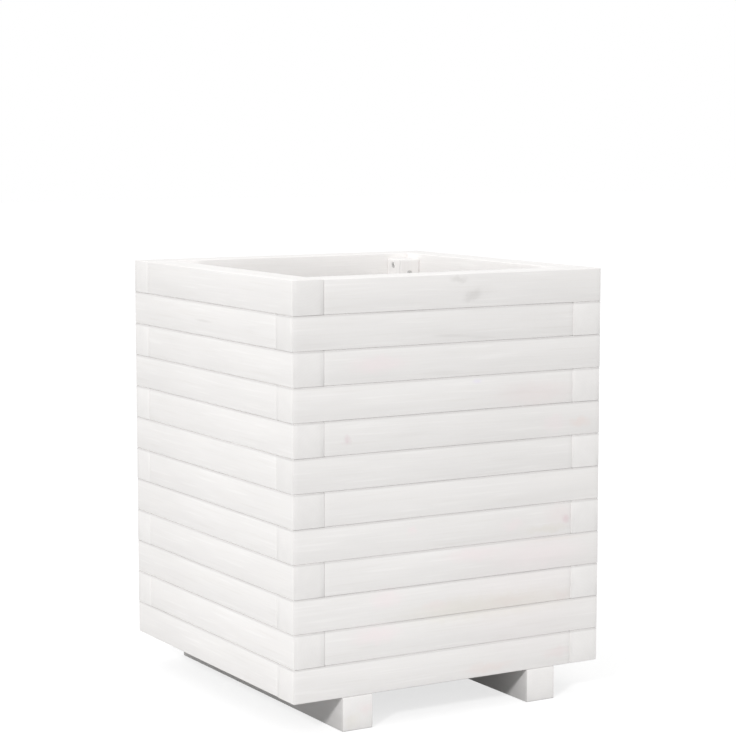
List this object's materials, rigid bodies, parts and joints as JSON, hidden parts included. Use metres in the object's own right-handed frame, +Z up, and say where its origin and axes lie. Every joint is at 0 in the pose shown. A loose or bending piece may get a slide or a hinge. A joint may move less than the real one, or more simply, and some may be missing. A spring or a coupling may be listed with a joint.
{
  "type": "planter",
  "caption": "Tall square garden planter of stacked white-painted timbers with lapped corners, raised on runners, with inner corner posts and a slatted floor.",
  "frame": {"origin": "middle of the footprint, on the ground under the runners", "axes": "+Z up; -Y is the front wall, where the runners' ends show; +X is to the right of the front wall"},
  "size_m": [0.4, 0.4, 0.494],
  "materials": {
    "wall_paint": "thin matt white paint over planed softwood, with the grain and some knots showing through",
    "base_paint": "thin matt white paint over planed softwood",
    "post_paint": "thin matt white paint over planed softwood",
    "zinc_screw": "zinc-plated steel, dull bright"
  },
  "bodies": {
    "root": {"front_beam_01": "wall_paint", "front_beam_02": "wall_paint", "front_beam_03": "wall_paint", "front_beam_04": "wall_paint", "front_beam_05": "wall_paint", "front_beam_06": "wall_paint", "front_beam_07": "wall_paint", "front_beam_08": "wall_paint", "front_beam_09": "wall_paint", "front_beam_10": "wall_paint", "front_beam_11": "wall_paint", "front_beam_12": "wall_paint", "right_beam_01": "wall_paint", "right_beam_02": "wall_paint", "right_beam_03": "wall_paint", "right_beam_04": "wall_paint", "right_beam_05": "wall_paint", "right_beam_06": "wall_paint", "right_beam_07": "wall_paint", "right_beam_08": "wall_paint", "right_beam_09": "wall_paint", "right_beam_10": "wall_paint", "right_beam_11": "wall_paint", "right_beam_12": "wall_paint", "back_beam_01": "wall_paint", "back_beam_02": "wall_paint", "back_beam_03": "wall_paint", "back_beam_04": "wall_paint", "back_beam_05": "wall_paint", "back_beam_06": "wall_paint", "back_beam_07": "wall_paint", "back_beam_08": "wall_paint", "back_beam_09": "wall_paint", "back_beam_10": "wall_paint", "back_beam_11": "wall_paint", "back_beam_12": "wall_paint", "left_beam_01": "wall_paint", "left_beam_02": "wall_paint", "left_beam_03": "wall_paint", "left_beam_04": "wall_paint", "left_beam_05": "wall_paint", "left_beam_06": "wall_paint", "left_beam_07": "wall_paint", "left_beam_08": "wall_paint", "left_beam_09": "wall_paint", "left_beam_10": "wall_paint", "left_beam_11": "wall_paint", "left_beam_12": "wall_paint", "left_runner": "base_paint", "right_runner": "base_paint", "front_left_post": "post_paint", "front_right_post": "post_paint", "back_right_post": "post_paint", "back_left_post": "post_paint", "floor_board_1": "base_paint", "floor_board_2": "base_paint", "floor_board_3": "base_paint", "wall_screws": "zinc_screw", "floor_screws": "zinc_screw", "runner_screws": "zinc_screw"}
  },
  "joints": []
}
